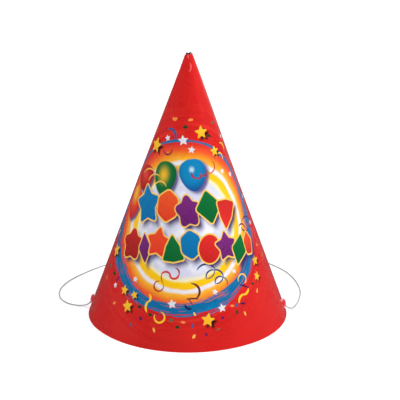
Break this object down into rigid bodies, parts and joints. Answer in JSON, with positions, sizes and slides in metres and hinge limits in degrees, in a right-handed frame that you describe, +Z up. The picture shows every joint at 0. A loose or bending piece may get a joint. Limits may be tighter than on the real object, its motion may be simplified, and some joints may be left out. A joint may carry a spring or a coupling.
{
  "type": "party hat",
  "caption": "Cone party hat rolled from glossy printed card, open at the tip, with a punched tab each side and a thin elastic chin cord held by metal barbs",
  "frame": {"origin": "on the table plane under the cone's axis, at the middle of the rim", "axes": "+Z up along the cone's axis, -Y towards the printed front, +X towards the tab at the viewer's right; the glued seam is at the back"},
  "size_m": [0.1548, 0.1639, 0.1742],
  "materials": {
    "card_print": "thin coated card, glossy full-colour print outside, plain grey-white inside",
    "tab_print": "the same coated card",
    "hot_glue": "pressed film of glue",
    "barb_metal": "bright tinned steel pin",
    "elastic": "white braided round elastic"
  },
  "bodies": {
    "hat": {"cone_card": "card_print", "seam_glue": "hot_glue", "elastic_cord": "elastic", "left_barb": "barb_metal", "right_barb": "barb_metal"},
    "left_flap": {"left_tab": "tab_print"},
    "right_flap": {"right_tab": "tab_print"}
  },
  "joints": [
    {"name": "left_tab_hinge", "type": "hinge", "parent": "hat", "child": "left_flap", "pos_m": [-0.05958, -0.0019, 0.00788], "axis": [0.328, 0, 0.9447], "range_deg": [0, 70]},
    {"name": "right_tab_hinge", "type": "hinge", "parent": "hat", "child": "right_flap", "pos_m": [0.05958, -0.0019, 0.00788], "axis": [0.328, 0, -0.9447], "range_deg": [0, 70]}
  ]
}
